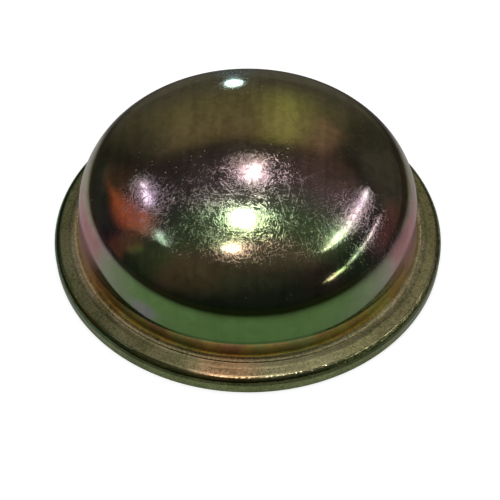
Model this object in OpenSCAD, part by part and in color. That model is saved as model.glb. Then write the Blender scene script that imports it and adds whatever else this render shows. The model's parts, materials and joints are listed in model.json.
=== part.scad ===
// Hub grease cap: one piece of steel sheet, pressed into a shallow dome on a short tapered wall.
// The wall turns out into a flat flange, and the flange turns down into a rim that grips the hub.
// The cap stands on its rim. The origin is the centre of the rim's resting plane, and +Z is the axis.

/* [Sheet] */
// Thickness of the steel sheet
sheet_t = 1; // [0.8:0.1:1.5]

/* [Dome] */
// Outer diameter of the wall where it reaches the flange
cup_d = 70; // [58:1:100]
// Inward lean of the wall, in degrees from upright
wall_taper = 6; // [2:0.5:12]
// Height of the straight wall above the flange
wall_h = 7.8; // [4:0.2:14]
// Outer radius of the corner at the top of the wall
corner_r = 13.4; // [6:0.2:18]
// Slope of the face's normal, in degrees above level, where the corner runs into the shoulder
corner_top = 62; // [48:1:72]
// Outer radius of the shoulder between corner and crown
shoulder_r = 42; // [20:1:52]
// Outer radius of the crown, the shallow top of the dome
crown_r = 95; // [60:1:140]

/* [Flange] */
// Width of the flange, from the wall's foot to the outside of the rim
flange_w = 5; // [4.8:0.1:10]
// Height of the flange's top face above the rim's resting edge
flange_h = 3.6; // [3.2:0.1:8]
// Inside radius of the bend between flange and rim
bend_in_r = 0.4; // [0.2:0.1:1]
// Radius that breaks the rim's cut edge, inside and out
edge_r = 0.25; // [0.1:0.05:0.35]

/* [Collar] */
// Radius of the fillet between the wall and the collar
root_r = 0.5; // [0.3:0.05:0.8]
// Width of the sloping collar that is coined round the wall's foot
collar_w = 2; // [1.6:0.1:2.2]
// Rise of the collar above the flange
collar_h = 0.35; // [0.1:0.05:0.6]
// Distance from the wall's foot to the crest of the bead on the collar
bead_out = 0.65; // [0.5:0.05:0.9]
// Section radius of the bead
bead_r = 0.25; // [0.15:0.05:0.35]
// Height of the bead's crest above the flange
bead_h = 0.55; // [0.4:0.05:0.7]

/* [Hidden] */
$fn = 180;

cup_r = cup_d / 2;
rim_r = cup_r + flange_w;
bend_out_r = bend_in_r + sheet_t;
cap_color = [0.58, 0.54, 0.34];
// The cavity is cut this far past the resting plane
overcut = 1;
// Arcs that blend two faces overlap them by this much, so that their edges cross cleanly
lap = 0.0001;

// Centre of the corner's arc, which meets the wall's slanted line at the top of the straight wall
corner_x = cup_r - wall_h * tan(wall_taper) - corner_r * cos(wall_taper);
corner_z = flange_h + wall_h - corner_r * sin(wall_taper);

// Centre of the shoulder's arc, which runs on smoothly from the corner's
shoulder_x = corner_x - (shoulder_r - corner_r) * cos(corner_top);
shoulder_z = corner_z - (shoulder_r - corner_r) * sin(corner_top);

// The crown's centre is on the axis, where its arc runs on smoothly from the shoulder's
crown_edge = acos(shoulder_x / (crown_r - shoulder_r));
crown_z = shoulder_z - (crown_r - shoulder_r) * sin(crown_edge);

// Point at distance r from the origin, at an angle above the radial direction
function polar(r, angle) = r * [cos(angle), sin(angle)];

// Point of the wall at height z; inset 0 gives its outer face, inset sheet_t its inner one
function wall_at(z, inset) =
    [cup_r - (z - flange_h) * tan(wall_taper) - inset / cos(wall_taper), z];

module quarter_disc(r) {
    intersection() {
        circle(r);
        square(2 * r);
    }
}

// Part of a disc that lies above the corner's centre, from the axis to a line at an angle through
// the disc's own centre
module disc_cap(centre, r, angle) {
    low = centre + polar((corner_z - centre.y) / sin(angle), angle);

    intersection() {
        translate(centre) circle(r);
        polygon([
            [0, corner_z],
            low,
            low + polar(crown_r, angle),
            [0, corner_z + crown_r]
        ]);
    }
}

// Half section of the dome, filled from the axis out to a face that lies inset inside the outer one
module dome_form(inset) {
    corner = [corner_x, corner_z];

    disc_cap([0, crown_z], crown_r - inset, crown_edge);

    // The shoulder is a little proud of the crown where it runs into it, and the corner of both its
    // neighbours
    disc_cap([shoulder_x, shoulder_z], shoulder_r - inset + lap, corner_top);
    translate(corner) quarter_disc(corner_r - inset + 2 * lap);

    // Wall
    polygon([
        [0, 0],
        wall_at(0, inset),
        corner + polar(corner_r - inset, wall_taper),
        corner,
        [0, corner_z]
    ]);
}

// Fillet of radius r in the angle at the wall's foot, where the face outside it falls by a slope
module root_fillet(foot, slope, r) {
    open = 90 + wall_taper + slope;
    run = r / tan(open / 2);
    centre = foot + polar(r / sin(open / 2), open / 2 - slope);

    difference() {
        polygon([
            foot + polar(run, 90 + wall_taper),
            foot - [r, r],
            foot + polar(run, -slope),
            centre
        ]);
        translate(centre) circle(r + lap);
    }
}

// Half section under the flange, filled from the axis out to the rim, with the rounded bend
module flange_form(inset, bottom) {
    bend = [rim_r - bend_out_r, flange_h - bend_out_r];

    translate([0, bottom]) {
        square([bend.x, flange_h - inset - bottom]);
        square([rim_r - inset, bend.y - bottom]);
    }
    translate(bend) quarter_disc(bend_out_r - inset);
}

// Half section of the sloping collar with its bead, and of the fillet that leads up to the wall
module collar_form() {
    foot = wall_at(flange_h + collar_h, 0);
    collar_r = cup_r + collar_w;

    polygon([[corner_x, flange_h], [collar_r, flange_h], foot, [corner_x, foot.y]]);
    root_fillet(foot, atan(collar_h / (collar_r - foot.x)), root_r);
    translate([cup_r + bead_out, flange_h + bead_h - bead_r]) circle(bead_r);
}

// Section of the rim's lowest part, with its cut edge rounded
module rim_edge() {
    inner = rim_r - sheet_t + edge_r;
    outer = rim_r - edge_r;

    translate([inner, 0]) square([outer - inner, edge_r]);
    for (x = [inner, outer])
        translate([x, edge_r]) circle(edge_r);
}

// Half section of the pressed sheet
module sheet_section() {
    difference() {
        union() {
            dome_form(0);
            flange_form(0, edge_r);
            collar_form();
        }
        union() {
            dome_form(sheet_t);
            flange_form(sheet_t, -overcut);
            root_fillet(wall_at(flange_h - sheet_t, sheet_t), 0, root_r + sheet_t);
        }
    }
    rim_edge();
}

module grease_cap() {
    color(cap_color) rotate_extrude() sheet_section();
}

grease_cap();
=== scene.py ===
"""A hub grease cap of pressed steel, zinc plated with a yellow, iridescent passivation, on pale paper."""

import json
from math import acos, asin, atan, cos, degrees, pi, radians, sin, tan

import bmesh
import bpy
from mathutils import Matrix, Vector


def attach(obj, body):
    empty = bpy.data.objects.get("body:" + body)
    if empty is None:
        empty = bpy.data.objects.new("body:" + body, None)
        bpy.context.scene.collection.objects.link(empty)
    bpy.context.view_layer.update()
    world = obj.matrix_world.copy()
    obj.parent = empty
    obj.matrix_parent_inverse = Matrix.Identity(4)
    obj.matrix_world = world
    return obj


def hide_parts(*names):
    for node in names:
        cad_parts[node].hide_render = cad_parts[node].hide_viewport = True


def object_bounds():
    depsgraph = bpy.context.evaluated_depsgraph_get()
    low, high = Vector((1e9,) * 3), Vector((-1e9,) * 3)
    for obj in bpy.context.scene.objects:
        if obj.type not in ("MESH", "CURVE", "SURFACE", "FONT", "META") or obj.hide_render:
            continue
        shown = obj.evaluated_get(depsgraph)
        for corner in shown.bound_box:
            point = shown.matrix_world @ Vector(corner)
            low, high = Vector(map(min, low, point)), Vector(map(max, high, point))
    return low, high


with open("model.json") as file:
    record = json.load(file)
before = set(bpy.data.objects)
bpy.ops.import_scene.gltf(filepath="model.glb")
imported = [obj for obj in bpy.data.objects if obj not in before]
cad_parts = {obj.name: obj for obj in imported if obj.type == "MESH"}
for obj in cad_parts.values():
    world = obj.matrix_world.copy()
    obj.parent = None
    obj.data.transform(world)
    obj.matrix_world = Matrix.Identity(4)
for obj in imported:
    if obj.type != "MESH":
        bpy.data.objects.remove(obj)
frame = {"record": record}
cad_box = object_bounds()

# Metres in a millimetre
MM = 0.001

# Driving sizes, in millimetres
rim_r = cad_box[1].x / MM
sheet_t = rim_r - next(m["dims"]["r_mm"] for m in frame["record"]["mounts"] if m["name"] == "rim_bore")
cup_r = 35.0
wall_taper = 6.0
wall_h = 7.8
corner_r = 13.4
corner_top = 62.0
shoulder_r = 42.0
crown_r = 95.0
flange_h = 3.6
bend_in_r = 0.4
edge_r = 0.25
root_r = 0.5
collar_w = 2.0
collar_h = 0.35
bead_out = 0.65
bead_r = 0.25
bead_h = 0.55

# Steps of the turned form round the axis
STEPS_AROUND = 288
# Vertices that are closer than this are merged, in millimetres
MERGE_WITHIN = 0.0005

# Pressed sheet

lean = tan(radians(wall_taper))
bend_out_r = bend_in_r + sheet_t
corner_x = cup_r - wall_h * lean - corner_r * cos(radians(wall_taper))
corner_z = flange_h + wall_h - corner_r * sin(radians(wall_taper))
shoulder_x = corner_x - (shoulder_r - corner_r) * cos(radians(corner_top))
shoulder_z = corner_z - (shoulder_r - corner_r) * sin(radians(corner_top))
crown_edge = degrees(acos(shoulder_x / (crown_r - shoulder_r)))
crown_z = shoulder_z - (crown_r - shoulder_r) * sin(radians(crown_edge))


def polar(radius, angle):
    """The point at a distance from the origin, at an angle in degrees above the radial direction."""
    return Vector((radius * cos(radians(angle)), radius * sin(radians(angle))))


def wall_at(height, inset):
    """A point of the wall's outer face, or of the face that lies inset inside it."""
    return Vector((cup_r - (height - flange_h) * lean - inset / cos(radians(wall_taper)), height))


class SectionPen:
    """Draws the sheet's half section in the XZ plane, one stroke after another, in millimetres."""

    # Share of a straight stroke at which it gets a support point near each end
    SUPPORT = 0.06

    def __init__(self, mesh, start):
        self.mesh = mesh
        # The layer and the pen's side hold 1 on the hollow side of the sheet and 0 on its outer one
        self.hollow = mesh.verts.layers.float.new("hollow")
        self.side = 0.0
        self.tip = mesh.verts.new(self.place(start))

    def place(self, point):
        return Vector((point[0], 0, point[1])) * MM

    def here(self):
        return Vector((self.tip.co.x, self.tip.co.z)) / MM

    def line(self, end):
        grown = bmesh.ops.extrude_vert_indiv(self.mesh, verts=[self.tip])
        self.tip = grown["verts"][0]
        self.tip.co = self.place(end)
        self.tip[self.hollow] = self.side

    def straight(self, end):
        """A line with support points, so that the shading of the arcs at its ends stays near them."""
        start = self.here()
        end = Vector(end)
        for share in (self.SUPPORT, 1 - self.SUPPORT, 1):
            self.line(start.lerp(end, share))

    def arc(self, centre, turn, steps):
        """Turns about a centre by an angle in degrees; a positive one leads down from the axis."""
        for _ in range(steps):
            turned = bmesh.ops.spin(
                self.mesh, geom=[self.tip], cent=self.place(centre), axis=(0, 1, 0),
                angle=radians(turn / steps), steps=1)
            self.tip = next(e for e in turned["geom_last"] if isinstance(e, bmesh.types.BMVert))
            self.tip[self.hollow] = self.side


def root_arc(foot, slope, radius):
    """Start, centre and opening angle of the fillet in the angle at the wall's foot."""
    opening = 90 + wall_taper + slope
    start = foot + polar(radius / tan(radians(opening / 2)), 90 + wall_taper)
    centre = foot + polar(radius / sin(radians(opening / 2)), opening / 2 - slope)
    return start, centre, opening


def draw_outer_face(pen):
    """Crown, shoulder, corner, wall, root, collar with its bead, flange, bend and rim."""
    corner = Vector((corner_x, corner_z))
    foot = wall_at(flange_h + collar_h, 0)
    slope = degrees(atan(collar_h / (cup_r + collar_w - foot.x)))
    root_start, root_centre, opening = root_arc(foot, slope, root_r)

    pen.arc((0, crown_z), 90 - crown_edge, 14)
    pen.arc((shoulder_x, shoulder_z), crown_edge - corner_top, 20)
    pen.arc(corner, corner_top - wall_taper, 38)
    pen.straight(root_start)
    pen.arc(root_centre, opening - 180, 8)

    # The bead stands on the collar's slope and covers a little more than half of its circle
    bead = Vector((cup_r + bead_out, flange_h + bead_h - bead_r))
    over_slope = (bead - foot).dot(polar(1, 90 - slope))
    sunk = degrees(asin(over_slope / bead_r))
    pen.line(bead + polar(bead_r, 180 - slope + sunk))
    pen.arc(bead, 180 + 2 * sunk, 14)

    pen.straight((cup_r + collar_w, flange_h))
    pen.straight((rim_r - bend_out_r, flange_h))
    pen.arc((rim_r - bend_out_r, flange_h - bend_out_r), 90, 14)
    pen.straight((rim_r, edge_r))


def draw_cut_edge(pen):
    """The rim's resting face, with both of its edges rounded."""
    pen.arc((rim_r - edge_r, edge_r), 90, 5)
    pen.line((rim_r - sheet_t + edge_r, 0))
    pen.arc((rim_r - sheet_t + edge_r, edge_r), 90, 5)


def draw_hollow_face(pen):
    """The inner side, from the rim's bore up to the axis under the crown."""
    corner = Vector((corner_x, corner_z))
    foot = wall_at(flange_h - sheet_t, sheet_t)
    root_start, root_centre, opening = root_arc(foot, 0, root_r + sheet_t)

    pen.side = 1.0
    pen.straight((rim_r - sheet_t, flange_h - bend_out_r))
    pen.arc((rim_r - bend_out_r, flange_h - bend_out_r), -90, 6)
    pen.straight((root_centre.x, flange_h - sheet_t))
    pen.arc(root_centre, 180 - opening, 10)
    pen.straight(corner + polar(corner_r - sheet_t, wall_taper))
    pen.arc(corner, wall_taper - corner_top, 28)
    pen.arc((shoulder_x, shoulder_z), corner_top - crown_edge, 14)
    pen.arc((0, crown_z), crown_edge - 90, 10)
    pen.tip.co.x = 0


def piece(name, mesh):
    """Makes an object of a finished bmesh and puts it in the scene."""
    data = bpy.data.meshes.new(name)
    mesh.to_mesh(data)
    mesh.free()
    made = bpy.data.objects.new(name, data)
    bpy.context.scene.collection.objects.link(made)
    return made


def pressed_cap():
    """Turns the section round the axis into the closed sheet."""
    mesh = bmesh.new()
    pen = SectionPen(mesh, (0, crown_z + crown_r))
    draw_outer_face(pen)
    draw_cut_edge(pen)
    draw_hollow_face(pen)

    bmesh.ops.spin(
        mesh, geom=mesh.verts[:] + mesh.edges[:], cent=(0, 0, 0), axis=(0, 0, 1),
        angle=2 * pi, steps=STEPS_AROUND, use_merge=True)
    bmesh.ops.remove_doubles(mesh, verts=mesh.verts, dist=MERGE_WITHIN * MM)
    bmesh.ops.recalc_face_normals(mesh, faces=mesh.faces)
    for face in mesh.faces:
        face.smooth = True
    return piece("pressed_cap", mesh)


# Shader maths

class Number:
    """A number socket of a node tree. Python's operators on it add Math nodes."""

    def __init__(self, shop, socket):
        self.shop = shop
        self.socket = socket

    def maths(self, operation, *given):
        node = self.shop.node("ShaderNodeMath", {"operation": operation}, dict(enumerate(given)))
        return Number(self.shop, node.outputs[0])

    def __add__(self, other):
        return self.maths("ADD", self, other)

    def __sub__(self, other):
        return self.maths("SUBTRACT", self, other)

    def __mul__(self, other):
        return self.maths("MULTIPLY", self, other)

    def __truediv__(self, other):
        return self.maths("DIVIDE", self, other)

    def __pow__(self, other):
        return self.maths("POWER", self, other)

    def __rsub__(self, other):
        return self.maths("SUBTRACT", other, self)

    def __rtruediv__(self, other):
        return self.maths("DIVIDE", other, self)

    __radd__ = __add__
    __rmul__ = __mul__

    def __abs__(self):
        return self.maths("ABSOLUTE", self)

    def least(self, other):
        return self.maths("MINIMUM", self, other)

    def most(self, other):
        return self.maths("MAXIMUM", self, other)

    def between(self, low, high):
        """0 below low and 1 above high, with a smooth step between; falling where low is above high."""
        node = self.shop.node(
            "ShaderNodeMapRange", {"interpolation_type": "SMOOTHSTEP"},
            {"Value": self, "From Min": low, "From Max": high, "To Min": 0.0, "To Max": 1.0})
        return Number(self.shop, node.outputs["Result"])

    def band(self, start, full, fade, end):
        """0 up to start, 1 from full to fade, and 0 again from end on."""
        return self.between(start, full) * self.between(end, fade)


class NodeShop:
    """Makes the nodes of one material or world."""

    def __init__(self, owner):
        owner.use_nodes = True
        self.tree = owner.node_tree
        self.tree.nodes.clear()

    def node(self, kind, settings=None, given=None):
        """A node of a type: its settings are set first, then the values or links of its sockets."""
        node = self.tree.nodes.new(kind)
        for name, setting in (settings or {}).items():
            if name == "stops":
                self.set_stops(node.color_ramp, setting)
            else:
                setattr(node, name, setting)
        for name, value in (given or {}).items():
            if isinstance(value, Number):
                value = value.socket
            if isinstance(value, bpy.types.NodeSocket):
                self.tree.links.new(value, node.inputs[name])
            else:
                node.inputs[name].default_value = value
        return node

    def set_stops(self, ramp, stops):
        while len(ramp.elements) < len(stops):
            ramp.elements.new(0.5)
        for element, (position, color) in zip(ramp.elements, stops):
            element.position = position
            element.color = (*color, 1.0)

    def number(self, socket):
        return Number(self, socket)

    def vector(self, operation, *given, output="Vector"):
        names = dict(enumerate(given))
        if operation == "SCALE":
            names = {0: given[0], "Scale": given[1]}
        return self.node("ShaderNodeVectorMath", {"operation": operation}, names).outputs[output]

    def dot(self, first, second):
        return self.number(self.vector("DOT_PRODUCT", first, second, output="Value"))

    def distance(self, first, second):
        return self.number(self.vector("DISTANCE", first, second, output="Value"))

    def length(self, vector):
        return self.number(self.vector("LENGTH", vector, output="Value"))

    def noise(self, place, scale, detail=2.0, roughness=0.5, distortion=0.0):
        node = self.node("ShaderNodeTexNoise", {}, {
            "Vector": place, "Scale": scale, "Detail": detail, "Roughness": roughness,
            "Distortion": distortion})
        return self.number(node.outputs["Fac"])

    def ramp(self, value, stops):
        node = self.node("ShaderNodeValToRGB", {"stops": stops}, {"Fac": value})
        return node.outputs["Color"]

    def mix(self, factor, first, second, blend="MIX"):
        node = self.node(
            "ShaderNodeMix", {"data_type": "RGBA", "blend_type": blend}, {0: factor, 6: first, 7: second})
        return node.outputs[2]


def rgb(red, green, blue):
    return (red, green, blue, 1.0)


# Plated steel

# Heights in millimetres between which a finish fades in, downwards where the first is the higher
WALL_ZONE = (17.5, 15.0)
FOOT_ZONE = (7.9, 7.5)
BASE_ZONE = (4.5, 4.1)
RIM_ZONE = (3.5, 3.3)
WORN_ZONE = (13.0, 16.0)
MARKED_ZONE = (15.0, 18.0)

# Heights or radii in millimetres where a band of painted light or shade starts, is full, begins to fade
# and ends: painted shade along the top of the wall's foot and in the groove, a painted dark reflection
# under the bend, and a painted highlight on the bead
FOOT_SHADE_HEIGHTS = (7.7, 8.0, 8.2, 8.6)
UNDER_BEND_REFLECTION_HEIGHTS = (1.9, 2.4, 3.0, 3.2)
BEAD_HIGHLIGHT_RADII = (35.2, 35.4, 35.8, 36.0)
GROOVE_SHADE_RADII = (35.9, 36.2, 36.8, 37.1)

# Places on the cap, in millimetres
BLUED_AT = (-3.5, 29)
LILAC_AT = (-19.3, -28.2, 9.5)
COPPER_AT = (-4.0, -38.2, 3.5)

# Fine hairlines: their angle in degrees, and their length and width in millimetres
HAIRLINES = [
    (8, 1.5, 0.13),
    (29, 3.0, 0.15),
    (52, 1.3, 0.12),
    (77, 2.2, 0.14),
    (98, 1.4, 0.12),
    (121, 2.8, 0.15),
    (143, 1.2, 0.12),
    (166, 3.6, 0.16),
]
# Straight scratches, in millimetres: the cell that holds one, their half width, reach and shift
SCRATCHES = [
    (5.0, 0.08, 4.0, 11.9),
    (9.0, 0.10, 6.5, 17.7),
]
# Pits, in millimetres: the cell that may hold one, and their radius
PITS = [
    (1.5, 0.14),
    (2.6, 0.20),
]


def worn_patch(x, y, middle, inner, outer, stretch=1.0):
    """1 within the inner radius of a worn place and 0 past the outer one, as seen from above."""
    away = (((x - middle[0]) / stretch) ** 2.0 + (y - middle[1]) ** 2.0 + 0.01) ** 0.5
    return away.between(outer, inner)


class CapSurface:
    """Places on the cap in millimetres, and the clouds of colour that its finishes share."""

    def __init__(self, shop):
        self.place = shop.vector("SCALE", shop.node("ShaderNodeTexCoord").outputs["Object"], 1 / MM)
        axes = shop.node("ShaderNodeSeparateXYZ", {}, {"Vector": self.place})
        self.x, self.y, self.z = (shop.number(axes.outputs[name]) for name in "XYZ")
        # The hundredth keeps the radius above zero on the axis, because it is divided by
        self.radius = (self.x * self.x + self.y * self.y + 0.01) ** 0.5

        # Facing is 1 in front and -1 at the back, and sideways 1 at the right and -1 at the left
        self.facing = (self.y / self.radius) * -1
        self.sideways = self.x / self.radius
        self.beside = 1 - self.facing.between(0.35, 0.62)
        self.on_base = self.z.between(*BASE_ZONE)
        hollow = shop.node("ShaderNodeAttribute", {"attribute_name": "hollow"})
        self.hollow = shop.number(hollow.outputs["Fac"])

        # The place at the back of the dome where the plating is bluish and pitted
        self.blued = worn_patch(self.x, self.y, BLUED_AT, 4, 9)

        self.cloud = shop.noise(self.place, 0.05, 3.0, 0.55) - 0.5
        self.streaks = shop.noise(self.place, 0.22, 4.0, 0.6) - 0.5
        self.speckle = shop.noise(self.place, 2.6, 2.0, 0.6)
        lengthwise = shop.vector("MULTIPLY", self.place, (0.60, 0.05, 0.05))
        self.blotches = (
            shop.noise(self.place, 0.30, 3.0, 0.6, 1.5) * 0.6
            + shop.noise(lengthwise, 1.0, 2.0, 0.5, 0.6) * 0.4)


def dome_tint(shop, at):
    """Bands of colour across the dome, bent forwards at the sides, with blotches and streaks."""
    # The bands reach this far to the front and back, in millimetres
    reach = 34
    across = at.y * -1 - at.x * at.x * 0.015
    tint = shop.ramp((across + at.cloud * 7 + at.streaks * 4 + reach) / (2 * reach), [
        (0.00, (0.42, 0.44, 0.40)),
        (0.30, (0.52, 0.48, 0.30)),
        (0.48, (0.52, 0.44, 0.33)),
        (0.57, (0.55, 0.41, 0.42)),
        (0.63, (0.57, 0.43, 0.48)),
        (0.69, (0.50, 0.47, 0.42)),
        (0.75, (0.40, 0.54, 0.32)),
        (0.82, (0.46, 0.54, 0.30)),
        (0.86, (0.62, 0.46, 0.33)),
        (0.90, (0.50, 0.41, 0.27)),
        (0.95, (0.36, 0.42, 0.26)),
    ])
    tint = shop.mix(at.blued * 0.7, tint, rgb(0.27, 0.40, 0.43))
    shade = at.blotches.between(0.34, 0.64) * 0.34 + 0.81
    return shop.vector("SCALE", tint, shade)


def wall_tint(shop, at):
    """Green in front, rose at the sides and green again at the back, paler towards the foot, with a line
    of painted shade along the top of the foot in front.
    """
    turned = (at.facing - at.sideways * 0.04 + at.cloud * 0.16 + at.streaks * 0.16) * 0.5 + 0.5
    tint = shop.ramp(turned, [
        (0.00, (0.30, 0.42, 0.24)),
        (0.20, (0.42, 0.40, 0.24)),
        (0.42, (0.38, 0.30, 0.22)),
        (0.56, (0.50, 0.26, 0.24)),
        (0.68, (0.56, 0.23, 0.24)),
        (0.77, (0.50, 0.27, 0.25)),
        (0.81, (0.38, 0.36, 0.27)),
        (0.85, (0.29, 0.34, 0.20)),
        (0.88, (0.24, 0.33, 0.16)),
        (0.93, (0.17, 0.29, 0.10)),
        (1.00, (0.15, 0.28, 0.08)),
    ])
    lilac = (shop.distance(at.place, LILAC_AT) + at.streaks * 5).between(4.4, 0.2)
    tint = shop.mix(lilac * 0.6, tint, rgb(0.40, 0.32, 0.42))

    # Painted shade: a dark line along the top of the foot, in front
    painted_foot_shade = at.z.band(*FOOT_SHADE_HEIGHTS) * at.facing.between(0.3, 0.7)
    tint = shop.mix(painted_foot_shade * 0.6, tint, rgb(0.08, 0.14, 0.05))

    # The foot is gold in front, and blends into rose beside and behind
    pale = at.beside * (at.z + at.streaks * 3).between(11.0, 6.0)
    tint = shop.mix(pale, tint, rgb(0.86, 0.60, 0.52))
    foot = shop.ramp(shop.noise(at.place, 0.17, 3.0, 0.6), [
        (0.38, (0.72, 0.44, 0.22)),
        (0.50, (0.88, 0.67, 0.20)),
        (0.63, (0.70, 0.72, 0.28)),
    ])
    tint = shop.mix(at.z.between(*FOOT_ZONE) * (1 - at.beside), tint, foot)
    return shop.vector("SCALE", tint, (at.streaks + at.blotches) * 0.5 + 0.75)


def base_tint(shop, at):
    """Collar, flange and rim: olive and straw with rose clouds, speckled, with painted shade at the sides
    and in the groove, a painted dark reflection under the bend and a painted highlight on the bead.
    """
    plating = shop.ramp(shop.noise(at.place, 0.14, 3.0, 0.6) * 0.6 + at.speckle - 0.3, [
        (0.28, (0.26, 0.27, 0.13)),
        (0.42, (0.46, 0.44, 0.24)),
        (0.56, (0.66, 0.56, 0.38)),
        (0.70, (0.78, 0.78, 0.44)),
    ])
    # Painted shade: the flange and rim are darker towards the left and right sides
    stain_and_painted_light = shop.ramp((at.sideways + at.cloud * 0.4) * 0.5 + 0.5, [
        (0.05, (0.46, 0.50, 0.44)),
        (0.24, (0.54, 0.56, 0.49)),
        (0.38, (1.00, 1.00, 1.00)),
        (0.78, (0.98, 1.00, 0.94)),
        (0.94, (0.66, 0.68, 0.60)),
    ])
    on_flange_or_rim = at.z.between(flange_h + 0.15, flange_h + 0.02)
    stain_and_painted_light = shop.mix(on_flange_or_rim, rgb(1, 1, 1), stain_and_painted_light)

    # Painted shade in the groove outside the bead in front, a green rim, and a painted dark reflection in
    # a band under the bend
    painted_groove_shade = at.radius.band(*GROOVE_SHADE_RADII) * at.facing.between(0.3, 0.8)
    stain_and_painted_light = shop.mix(painted_groove_shade * 0.62, stain_and_painted_light, rgb(0.10, 0.10, 0.06))
    stain_and_painted_light = shop.mix(at.z.between(*RIM_ZONE), stain_and_painted_light, rgb(0.50, 0.66, 0.44))
    # Painted dark reflection: a dark band under the bend
    stain_and_painted_light = shop.mix(at.z.band(*UNDER_BEND_REFLECTION_HEIGHTS) * 0.75, stain_and_painted_light, rgb(0.08, 0.09, 0.05))

    # A painted highlight on the bead, a coppery place in front, and a greenish lip round the left
    bead = at.radius.band(*BEAD_HIGHLIGHT_RADII) * at.z.between(3.8, 3.9)
    stain_and_painted_light = shop.mix(bead, stain_and_painted_light, shop.vector("SCALE", stain_and_painted_light, 1.6))
    copper = shop.distance(at.place, COPPER_AT).between(9.0, 2.0) * at.z.between(2.7, 3.1)
    stain_and_painted_light = shop.mix(copper, stain_and_painted_light, shop.vector("MULTIPLY", stain_and_painted_light, (1.30, 0.90, 0.86)))
    lip = at.radius.between(38.5, 38.8) * at.z.between(2.4, 2.9) * at.sideways.between(-0.50, -0.75)
    stain_and_painted_light = shop.mix(lip * 0.8, stain_and_painted_light, rgb(0.20, 0.44, 0.36))
    return shop.mix(1.0, plating, stain_and_painted_light, "MULTIPLY")


def hollow_tint(shop, at):
    """The inner side: a plainer, paler straw."""
    return shop.ramp(shop.noise(at.place, 0.07, 3.0, 0.6), [
        (0.32, (0.46, 0.42, 0.24)),
        (0.50, (0.54, 0.50, 0.32)),
        (0.68, (0.44, 0.48, 0.28)),
    ])


def worn_crown(at):
    """How worn the dome is: in the middle of its front, at the right and left, and where it is blued."""
    middle = worn_patch(at.x + at.cloud * 8, at.y, (2, -16), 5, 18, 1.5)
    right = worn_patch(at.x, at.y, (23, -18), 4, 11) * 0.75
    left = worn_patch(at.x, at.y, (-19, -14), 4, 10)
    in_front = middle.most(right).most(left) * at.z.between(*WORN_ZONE)
    return in_front.most(at.blued * 0.6) * (1 - at.hollow)


def hairline_layer(shop, place, turn, length, width):
    """Fine strokes that run one way over the crown, as seen from above; turn is their angle in degrees."""
    angle = radians(turn)
    along = shop.dot(place, (cos(angle), sin(angle), 0))
    aside = shop.dot(place, (-sin(angle), cos(angle), 0))
    # The third axis of the noise keeps each layer's strokes apart from those of the others
    spot = shop.node("ShaderNodeCombineXYZ", {}, {
        "X": along / length, "Y": aside / width, "Z": float(turn)})
    return shop.noise(spot.outputs[0], 1.0, 1.0, 0.5).between(0.60, 0.78)


def cells_from_above(shop, place, cell):
    """Irregular cells of a given size, which run straight down through the cap."""
    return shop.node(
        "ShaderNodeTexVoronoi", {"feature": "F1", "voronoi_dimensions": "2D"},
        {"Vector": place, "Scale": 1 / cell})


def scratch_layer(shop, place, cell, half_width, reach, shift):
    """Straight scratches seen from above, one in each cell, each with its own heading."""
    level = (1, 1, 0)
    moved = shop.vector("ADD", place, (shift, 2 * shift, 0))
    cells = cells_from_above(shop, moved, cell)
    offset = shop.vector("SUBTRACT", moved, cells.outputs["Position"])
    offset = shop.vector("MULTIPLY", offset, level)
    leaning = shop.vector("SUBTRACT", cells.outputs["Color"], (0.5, 0.5, 0.5))
    heading = shop.vector("NORMALIZE", shop.vector("MULTIPLY", leaning, level))
    off_line = abs(shop.dot(offset, heading))
    return off_line.between(half_width, 0.2 * half_width) * shop.length(offset).between(reach, 0.6 * reach)


def pit_layer(shop, place, cell, size):
    """Small round pits seen from above, in a quarter of the cells."""
    cells = cells_from_above(shop, place, cell)
    from_middle = shop.number(cells.outputs["Distance"]) * cell
    chosen = shop.dot(cells.outputs["Color"], (1, 0, 0))
    return from_middle.between(size, 0.4 * size) * chosen.between(0.73, 0.77)


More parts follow.
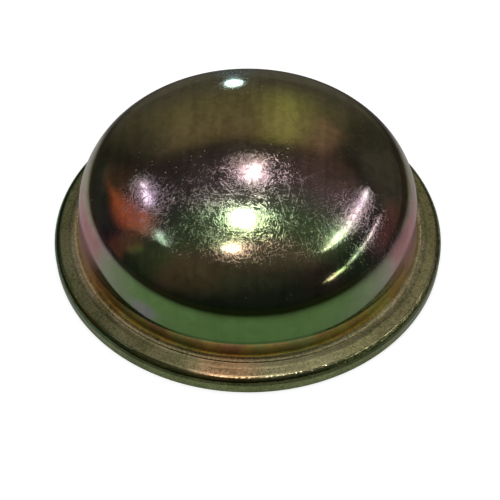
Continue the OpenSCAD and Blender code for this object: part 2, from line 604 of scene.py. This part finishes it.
def plated_steel():
    """Bright zinc with interference colours, a scratched crown and a grainy, duller flange."""
    steel = bpy.data.materials.new("plated_steel")
    shop = NodeShop(steel)
    at = CapSurface(shop)
    outside = 1 - at.hollow
    on_dome = at.z.between(*MARKED_ZONE) * outside
    on_flange = at.radius.between(39.0, 38.7) * at.on_base * outside

    # Hairlines gather in clusters where the crown is worn, and long scratches and pits are spread out
    crown_wear = worn_crown(at)
    clusters = shop.noise(at.place, 0.14, 3.0, 0.6).between(0.28, 0.72)
    wear = crown_wear * (0.55 + clusters * 0.60) + on_dome * 0.10
    hairs = sum(hairline_layer(shop, at.place, *layer) for layer in HAIRLINES)
    scratches = sum(scratch_layer(shop, at.place, *layer) for layer in SCRATCHES)
    scratches = scratches * on_dome * (0.20 + crown_wear * 0.5)
    pits = sum(pit_layer(shop, at.place, *layer) for layer in PITS)
    pits = pits * on_dome * shop.noise(at.place, 0.10, 2.0, 0.5).between(0.42, 0.62)
    marks = (hairs * wear + scratches + pits).least(1.0)

    tint = shop.mix(at.z.between(*WALL_ZONE), dome_tint(shop, at), wall_tint(shop, at))
    tint = shop.mix(at.on_base, tint, base_tint(shop, at))
    tint = shop.mix(at.hollow, tint, hollow_tint(shop, at))
    tint = shop.mix(pits * 0.4, tint, rgb(0.86, 0.82, 0.72))

    # The dome is mirror bright, the wall hazier beside and at its foot, and the flange dull
    grain = shop.noise(at.place, 1.7, 3.0, 0.65)
    haze = at.z.between(14.0, 12.0) * at.beside * 0.30 + at.z.between(*FOOT_ZONE) * (1 - at.beside) * 0.16
    dome_roughness = (
        0.065 + (at.cloud + 0.5) * 0.03 + crown_wear * 0.02 + marks * 0.23 + at.blued * 0.09 + haze)
    base_roughness = 0.16 + grain * 0.08 + on_flange * (0.12 + at.speckle * 0.22)
    hollow_roughness = 0.34
    roughness = dome_roughness * (1 - at.on_base) + base_roughness * at.on_base
    roughness = roughness * outside + hollow_roughness * at.hollow

    # Heights in millimetres; the dents are at the right, most of all in the bend
    scuffs = shop.noise(at.place, 4.0, 2.0, 0.6)
    waves = shop.noise(at.place, 0.50, 2.0, 0.5)
    dents = shop.noise(at.place, 1.1, 2.0, 0.5) * at.sideways.between(-0.2, 0.4) * at.z.between(2.5, 3.1)
    height = (
        (scuffs * 0.005 + hairs * 0.0045) * wear + pits * 0.010
        + grain * (0.0022 + at.on_base * 0.010 + on_flange * 0.030 + at.hollow * 0.010)
        + at.speckle * (on_flange * 0.045 + at.blued * 0.010)
        + waves * (0.008 + at.on_base * 0.016)
        + dents * at.on_base * (1 - on_flange * 0.7) * 0.19)
    bump = shop.node("ShaderNodeBump", {}, {"Strength": 1.0, "Distance": MM, "Height": height})

    surface = shop.node("ShaderNodeBsdfPrincipled", {}, {
        "Base Color": tint, "Metallic": 1.0, "Roughness": roughness, "Normal": bump.outputs["Normal"]})
    shop.node("ShaderNodeOutputMaterial", {}, {"Surface": surface.outputs[0]})
    return steel


# Studio

# Middle of the white paper under the cap, as bright metal sees it, and the distances from there
# between which it darkens into the bench, in metres
PAPER_AT = (-0.016, -0.014, 0)
PAPER_R = 0.040
PAPER_END = 0.112
# Factors on the distance along X, Y and Z, which make the paper longer to the left and right
PAPER_SQUASH = (0.72, 1, 1)
# Distance from the cap to the dark canopy
CANOPY_R = 1.4
CANOPY_DARK = (0.018, 0.019, 0.018)
# Round glows on the canopy: elevation, azimuth from the front, half width in degrees, color, strength
CANOPY_GLOWS = [
    (30, 176, 60, (0.62, 0.52, 0.34), 0.02),
    (80, 0, 60, (0.56, 0.60, 0.46), 0.04),
    (70, 100, 40, (0.56, 0.60, 0.40), 0.07),
    (48, -20, 40, (0.60, 0.42, 0.28), 0.02),
    (40, -52, 42, (0.52, 0.46, 0.26), 0.06),
]
# Square-edged glows: the elevations where each starts, is full, begins to fade and ends, its azimuth
# range from the back, how far the right edge leans in for each degree up, soft edge, color, strength
CANOPY_PANELS = [
    (-30, -10, 38, 46, -34, 28, 0, 9, (0.66, 0.58, 0.38), 0.09),
    (0, 40, 41, 47, -24, 22, 0, 8, (0.66, 0.54, 0.22), 0.125),
    (2, 36, 42, 47, 4, 14, 0, 5, (0.52, 0.58, 0.11), 0.27),
    (24, 30, 39, 45, 18, 28, 0, 3, (0.70, 0.32, 0.26), 0.14),
    (36, 44, 55, 61, 16, 62, 0, 8, (0.66, 0.34, 0.26), 0.06),
    (11, 17, 35, 41, -58, -46, 0, 6, (0.70, 0.34, 0.20), 0.06),
    (-3, 3, 30, 38, 36, 70, 0, 8, (0.46, 0.44, 0.40), 0.08),
    (-5, 1, 19, 25, -78, -44, 0, 6, (0.28, 0.40, 0.42), 0.03),
    (19, 40, 49, 55, -84, -50, 0.56, 2, (0.92, 0.25, 0.07), 0.50),
    (-9, -3, 37, 43, -100, -88, 0, 2.5, (0.80, 0.24, 0.10), 0.10),
    (15, 21, 33, 39, -104, -98, 0, 2, (0.40, 0.42, 0.12), 0.12),
    (-3, 3, 22, 28, 65, 97, 0, 6, (0.70, 0.28, 0.20), 0.10),
]
# Height of the ceiling lamps over the cap's base, in metres
CEILING = 0.42


def direction(elevation, azimuth):
    """Unit vector of a direction; azimuth 0 is the front, -Y, and 90 is +X."""
    level = cos(radians(elevation))
    return Vector((level * sin(radians(azimuth)), -level * cos(radians(azimuth)), sin(radians(elevation))))


def paper_finish():
    """White to the camera, and to metal a sheet of paper with a painted shadow of the cap, that ends
    softly on a dark bench.
    """
    paper = bpy.data.materials.new("paper")
    paper.cycles.emission_sampling = "NONE"
    shop = NodeShop(paper)
    place = shop.node("ShaderNodeTexCoord").outputs["Object"]
    axes = shop.node("ShaderNodeSeparateXYZ", {}, {"Vector": place})
    x, y = (shop.number(axes.outputs[name]) for name in "XY")
    ray = shop.node("ShaderNodeLightPath")
    camera = shop.number(ray.outputs["Is Camera Ray"])
    mirrored = shop.number(ray.outputs["Is Glossy Ray"])
    mirrored = mirrored.most(shop.number(ray.outputs["Is Transmission Ray"]))

    # What the camera sees: lit paper, with light of its own that nothing else sees
    lit = shop.node("ShaderNodeBsdfDiffuse", {}, {"Color": rgb(0.62, 0.62, 0.62)})
    glow = shop.node("ShaderNodeEmission", {}, {"Color": rgb(1, 1, 1), "Strength": camera * 0.70})
    sheet = shop.node("ShaderNodeAddShader", {}, {0: lit.outputs[0], 1: glow.outputs[0]})

    # What metal sees: a painted shadow of the cap darkens the paper behind it, and the bench is paler
    # behind the cap
    from_middle = shop.vector("MULTIPLY", shop.vector("SUBTRACT", place, PAPER_AT), PAPER_SQUASH)
    aslant = abs(x) / y
    painted_cap_shadow = y.between(0.025, 0.050) * aslant.between(1.3, 0.8)
    on_paper = shop.length(from_middle).between(PAPER_END, PAPER_R) * (1 - painted_cap_shadow * 0.7)
    behind = y.between(0.05, 0.12) * aslant.between(0.9, 0.3)
    bench_color = shop.mix(behind, rgb(0.034, 0.028, 0.022), rgb(0.115, 0.104, 0.078))
    bench = shop.node("ShaderNodeEmission", {}, {"Color": bench_color, "Strength": 1.0})

    seen = shop.node("ShaderNodeMixShader", {}, {
        "Fac": mirrored * (1 - on_paper), 1: sheet.outputs[0], 2: bench.outputs[0]})
    shop.node("ShaderNodeOutputMaterial", {}, {"Surface": seen.outputs[0]})
    return paper


def paper_floor():
    """Pale floor under the cap."""
    mesh = bmesh.new()
    bmesh.ops.create_grid(mesh, x_segments=2, y_segments=2, size=CANOPY_R)
    floor = piece("floor", mesh)
    floor.data.materials.append(paper_finish())


def felt_finish():
    """Dark felt that gives off a few dim, coloured glows."""
    felt = bpy.data.materials.new("felt")
    felt.cycles.emission_sampling = "NONE"
    shop = NodeShop(felt)
    outward = shop.vector("NORMALIZE", shop.node("ShaderNodeTexCoord").outputs["Object"])
    axes = shop.node("ShaderNodeSeparateXYZ", {}, {"Vector": outward})
    x, y, z = (shop.number(axes.outputs[name]) for name in "XYZ")
    elevation = z.maths("ARCSINE", z) * (180 / pi)
    from_back = x.maths("ARCTAN2", x, y) * (180 / pi)

    color = rgb(*CANOPY_DARK)
    for up, round_axis, half_width, hue, strength in CANOPY_GLOWS:
        toward = tuple(direction(up, round_axis))
        amount = shop.dot(outward, toward).between(cos(radians(half_width)), 1.0)
        glow = rgb(*(strength * part for part in hue))
        color = shop.mix(amount, color, shop.mix(1.0, color, glow, "ADD"))
    for start, full, fade, end, left, right, slant, soft, hue, strength in CANOPY_PANELS:
        leaned = from_back + (elevation - start) * slant
        inside = (
            elevation.band(start, full, fade, end)
            * from_back.between(left - soft, left + soft) * leaned.between(right + soft, right - soft))
        glow = rgb(*(strength * part for part in hue))
        color = shop.mix(inside, color, shop.mix(1.0, color, glow, "ADD"))
    emission = shop.node("ShaderNodeEmission", {}, {"Color": color, "Strength": 1.0})
    shop.node("ShaderNodeOutputMaterial", {}, {"Surface": emission.outputs[0]})
    return felt


def dark_canopy():
    """Dark tent round the cap that only bright metal sees."""
    mesh = bmesh.new()
    bmesh.ops.create_icosphere(mesh, subdivisions=5, radius=CANOPY_R)
    canopy = piece("canopy", mesh)
    canopy.data.materials.append(felt_finish())
    canopy.visible_camera = False
    canopy.visible_diffuse = False
    canopy.visible_shadow = False
    canopy.visible_transmission = False


def area_lamp(name, centre, length, width, strength, color, turn=0, aim=None, shape="ELLIPSE"):
    """A lamp that shines down, or at a point; its power is pi times its strength and its area."""
    light = bpy.data.lights.new(name, "AREA")
    light.shape = shape
    light.size = width
    light.size_y = length
    # The area is that of the rectangle round the lamp, also where the lamp is an ellipse
    light.energy = strength * pi * length * width
    light.color = color
    lamp = bpy.data.objects.new(name, light)
    bpy.context.scene.collection.objects.link(lamp)
    lamp.location = centre
    lamp.rotation_euler.z = radians(turn)
    if aim is not None:
        lamp.rotation_euler = (aim - Vector(centre)).to_track_quat("-Z", "Y").to_euler()
    lamp.visible_camera = False
    return lamp


def ceiling_lamps():
    """Lamps that the dome mirrors: small ones along the middle, and tubes to the left and right."""
    warm = (1.0, 0.98, 0.92)
    cool = (0.58, 0.86, 1.0)
    violet = (0.84, 0.86, 1.0)
    lime = (0.86, 1.0, 0.70)
    low = 0.5 * CEILING
    cap_middle = Vector((0, 0, 0.02))
    lamps = [
        area_lamp("lamp_main", (-0.012, 0.060, CEILING), 0.072, 0.038, 26, warm),
        area_lamp("lamp_upper", (0.010, 0.266, CEILING), 0.052, 0.026, 15, warm),
        area_lamp("lamp_near", (-0.044, -0.066, CEILING), 0.028, 0.056, 9, warm),
        area_lamp("tube_left", (-0.329, 0.222, CEILING), 0.150, 0.032, 4.5, violet, turn=16),
        area_lamp("tube_left_end", (-0.285, -0.006, CEILING), 0.070, 0.022, 3, violet, turn=16),
        area_lamp("tube_right", (0.290, -0.010, CEILING), 0.150, 0.024, 5, warm, turn=-27),
        area_lamp("tube_right_middle", (0.350, 0.100, CEILING), 0.170, 0.022, 5.5, warm, turn=-27),
        area_lamp("tube_right_end", (0.410, 0.225, CEILING), 0.150, 0.024, 5, violet, turn=-27),
        area_lamp("tube_far_right", (0.430, -0.310, low), 0.190, 0.026, 6, lime, turn=9),
        area_lamp("tube_far_right_end", (0.385, -0.050, low), 0.30, 0.017, 5.5, warm, turn=9),
        area_lamp("lamp_back", (-0.025, 0.464, 0.085), 0.080, 0.030, 4.6, cool, aim=cap_middle),
    ]
    for lamp in lamps:
        lamp.visible_diffuse = False


def soft_light():
    """Even light on the paper from a large lamp overhead, which the metal doesn't mirror."""
    lamp = area_lamp("soft_box", (0, 0, 0.9), 1.4, 1.4, 0.55, (1, 1, 1), shape="RECTANGLE")
    lamp.visible_glossy = False


def white_world():
    """White to the camera, and dimmer as a light."""
    world = bpy.data.worlds.new("studio")
    bpy.context.scene.world = world
    shop = NodeShop(world)
    ray = shop.node("ShaderNodeLightPath")
    seen = shop.number(ray.outputs["Is Camera Ray"])
    seen = seen.most(shop.number(ray.outputs["Is Glossy Ray"]))
    seen = seen.most(shop.number(ray.outputs["Is Transmission Ray"]))
    background = shop.node("ShaderNodeBackground", {}, {
        "Color": rgb(1, 1, 1), "Strength": 0.45 + seen * 0.55})
    shop.node("ShaderNodeOutputWorld", {}, {"Surface": background.outputs[0]})


def photo_camera():
    """The photograph's view: from the front, high, with the cap filling most of the frame."""
    lens = 82.33
    elevation = 47.742
    distance = 6 * rim_r * MM
    aim = Vector((0.47, 0, -4.95)) * MM
    roll = radians(0.357)

    data = bpy.data.cameras.new("camera")
    data.sensor_width = 36
    data.lens = lens
    data.clip_start = 0.01
    camera = bpy.data.objects.new("camera", data)
    bpy.context.scene.collection.objects.link(camera)
    spot = distance * direction(elevation, 0)
    facing = (aim - spot).to_track_quat("-Z", "Y").to_matrix().to_4x4()
    camera.matrix_world = Matrix.Translation(spot) @ facing @ Matrix.Rotation(roll, 4, "Z")
    bpy.context.scene.camera = camera


cap = pressed_cap()
cap.data.materials.append(plated_steel())
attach(cap, "root")
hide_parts("grease_cap")

paper_floor()
dark_canopy()
ceiling_lamps()
soft_light()
white_world()
photo_camera()

scene = bpy.context.scene
scene.view_settings.view_transform = "Standard"
